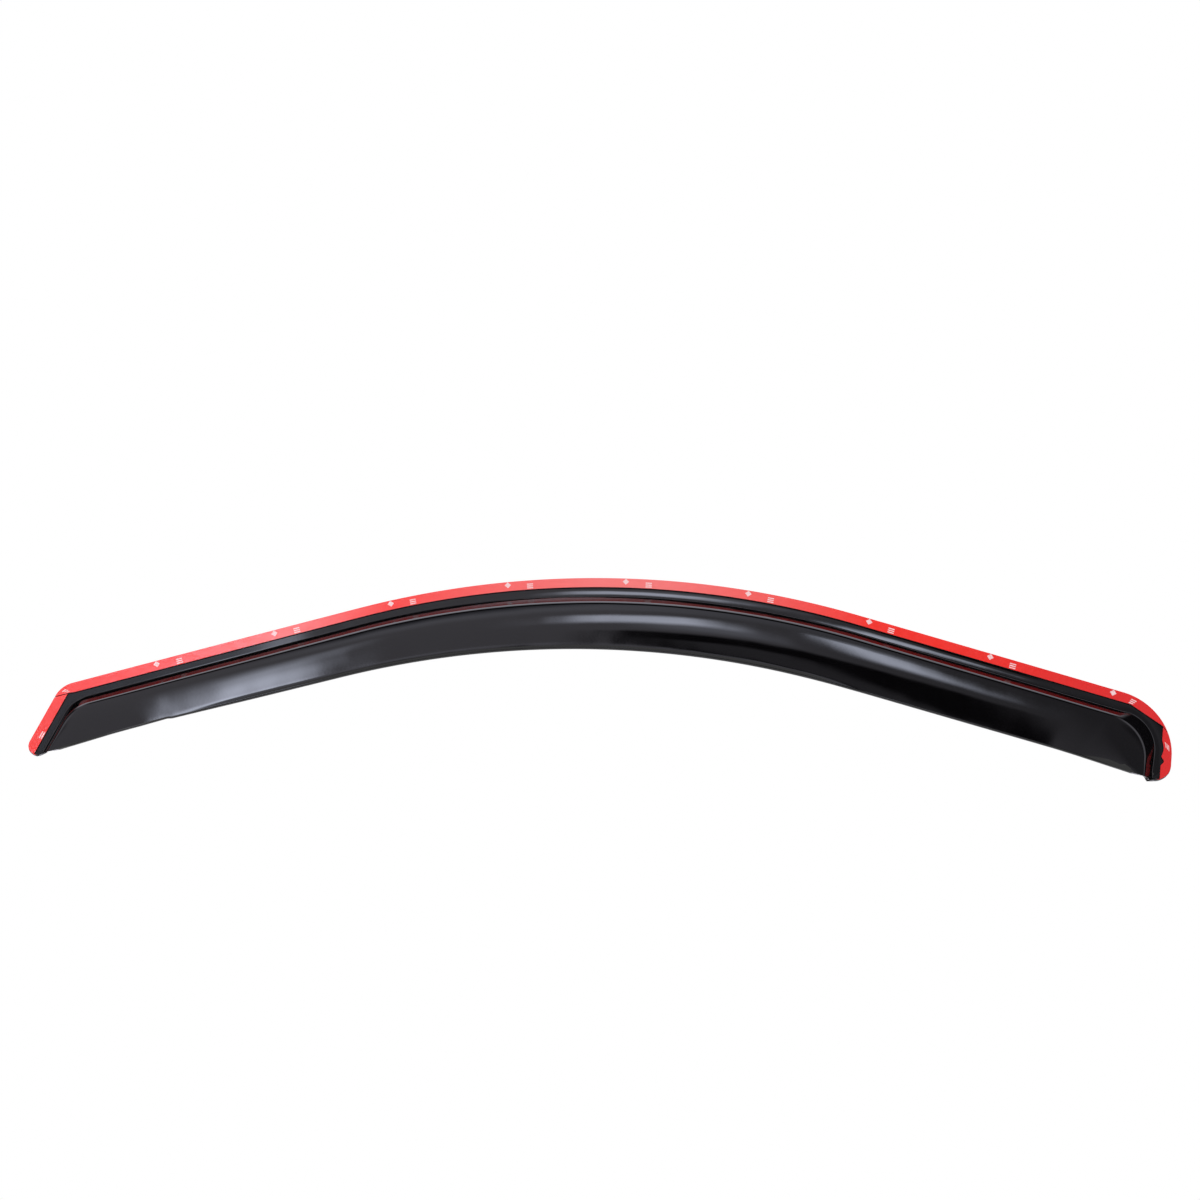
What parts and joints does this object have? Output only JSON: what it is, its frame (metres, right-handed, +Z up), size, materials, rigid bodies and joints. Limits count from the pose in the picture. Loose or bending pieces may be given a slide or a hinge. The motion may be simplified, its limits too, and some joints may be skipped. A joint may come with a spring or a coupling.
{
  "type": "window rain deflector",
  "caption": "Smoked acrylic rain deflector for a front door window: taped flange, raised step and bowed face that follow an arched window frame.",
  "frame": {"origin": "on the outward face of the long bonding strip, in the middle of its width, at the top of the arch", "axes": "as fixed on the car's left door: +X runs rearward from the sharp front tip to the rounded rear tip, -Y points outward from the door glass, +Z up along the glass"},
  "size_m": [0.9998, 0.0237, 0.1913],
  "materials": {
    "smoked_acrylic": "polished, dark smoke tint",
    "acrylic_foam": "matt closed-cell foam",
    "red_liner": "satin release film"
  },
  "bodies": {
    "root": {"deflector_shell": "smoked_acrylic", "long_tape": "acrylic_foam", "front_tape": "acrylic_foam", "rear_tape": "acrylic_foam", "long_liner": "red_liner", "front_liner": "red_liner", "rear_liner": "red_liner"}
  },
  "joints": []
}
